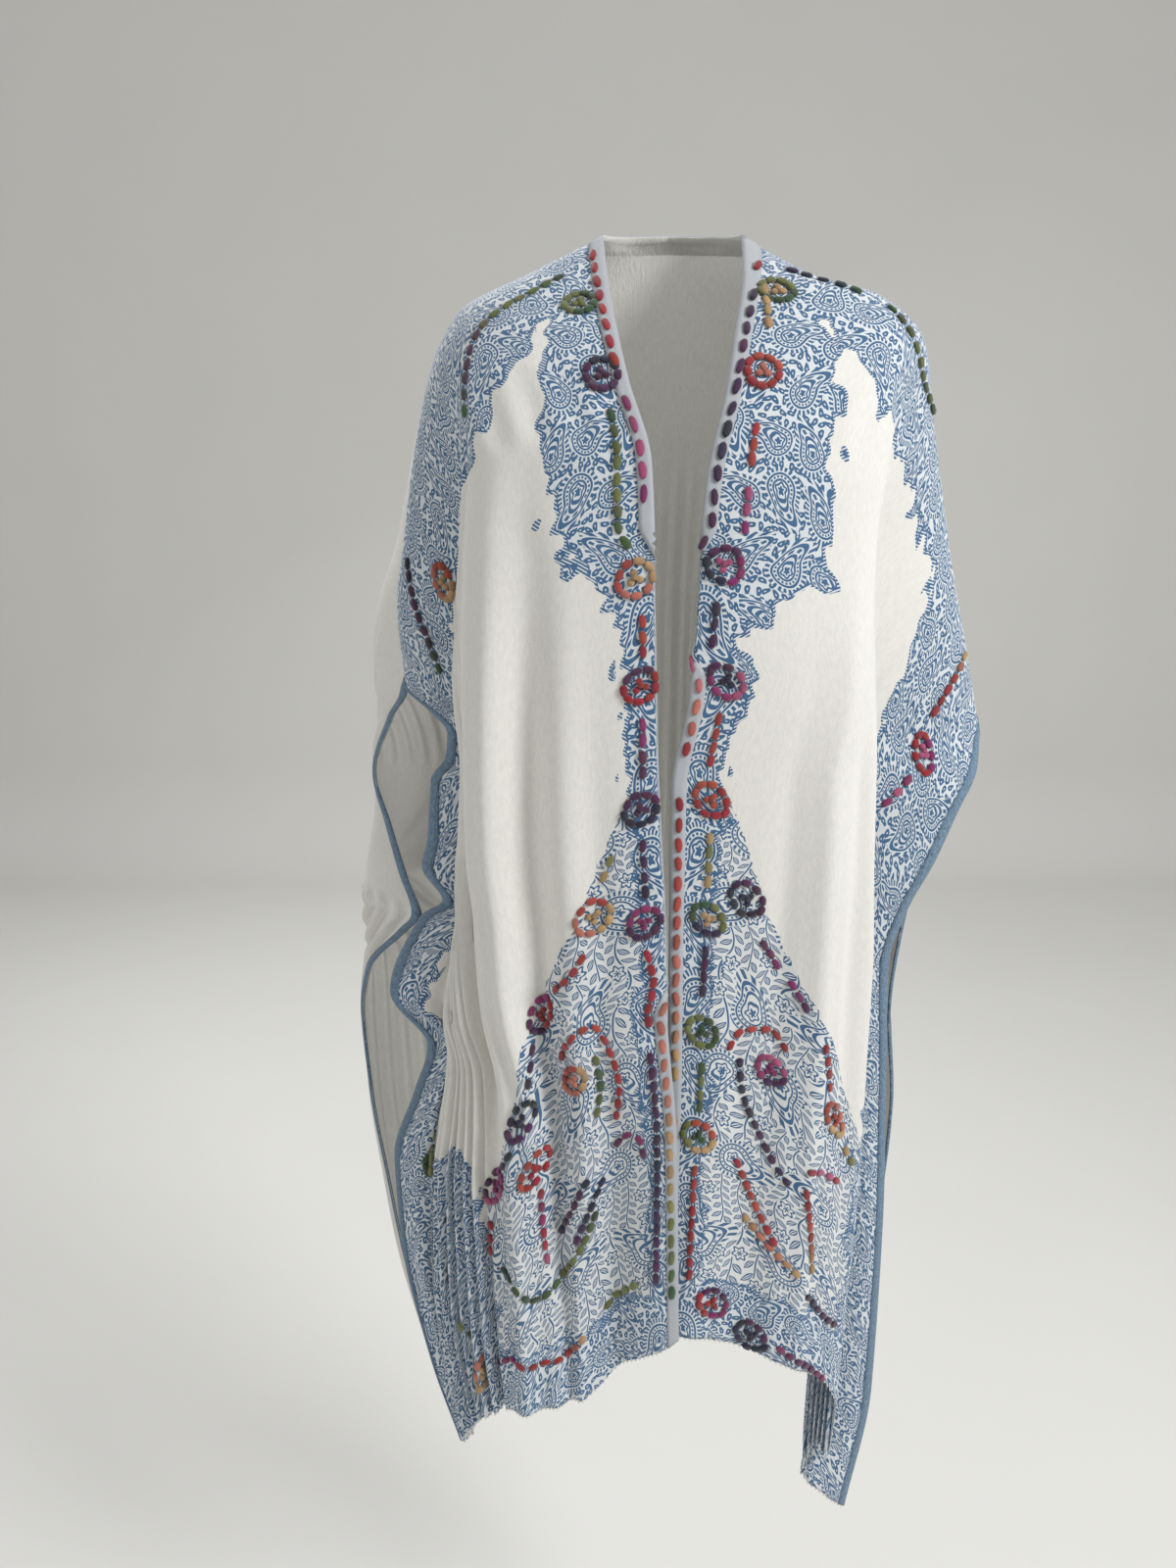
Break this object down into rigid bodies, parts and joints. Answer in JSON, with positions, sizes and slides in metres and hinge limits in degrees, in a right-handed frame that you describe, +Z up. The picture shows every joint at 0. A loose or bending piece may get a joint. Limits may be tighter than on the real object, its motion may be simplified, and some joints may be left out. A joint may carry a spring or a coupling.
{
  "type": "kaftan tunic, an open-front kimono kaftan worn on a figure",
  "caption": "Open-front woven kaftan with wide arm openings, blue paisley borders and thread embroidery, hollow as worn on a figure.",
  "frame": {"origin": "on the middle of the wearer, level with the two points where the shoulder seams meet the neck", "axes": "+Z up, -Y towards the garment's open front, +X to the viewer's right"},
  "size_m": [0.5274, 0.2765, 1.0966],
  "materials": {
    "woven_cloth": "off-white woven viscose with blue woven paisley borders, soft crepe surface",
    "twill_band": "light grey-blue twill",
    "marled_edging": "blue marled selvedge weave",
    "embroidery_thread": "thick soft space-dyed thread"
  },
  "bodies": {
    "root": {"back": "woven_cloth", "neckband_back": "twill_band", "front_right": "woven_cloth", "neckband_right": "twill_band", "side_edging_front_right": "marled_edging", "side_edging_back_right": "marled_edging", "side_tack_right": "embroidery_thread", "front_left": "woven_cloth", "neckband_left": "twill_band", "side_edging_front_left": "marled_edging", "side_edging_back_left": "marled_edging", "side_tack_left": "embroidery_thread"}
  },
  "joints": []
}
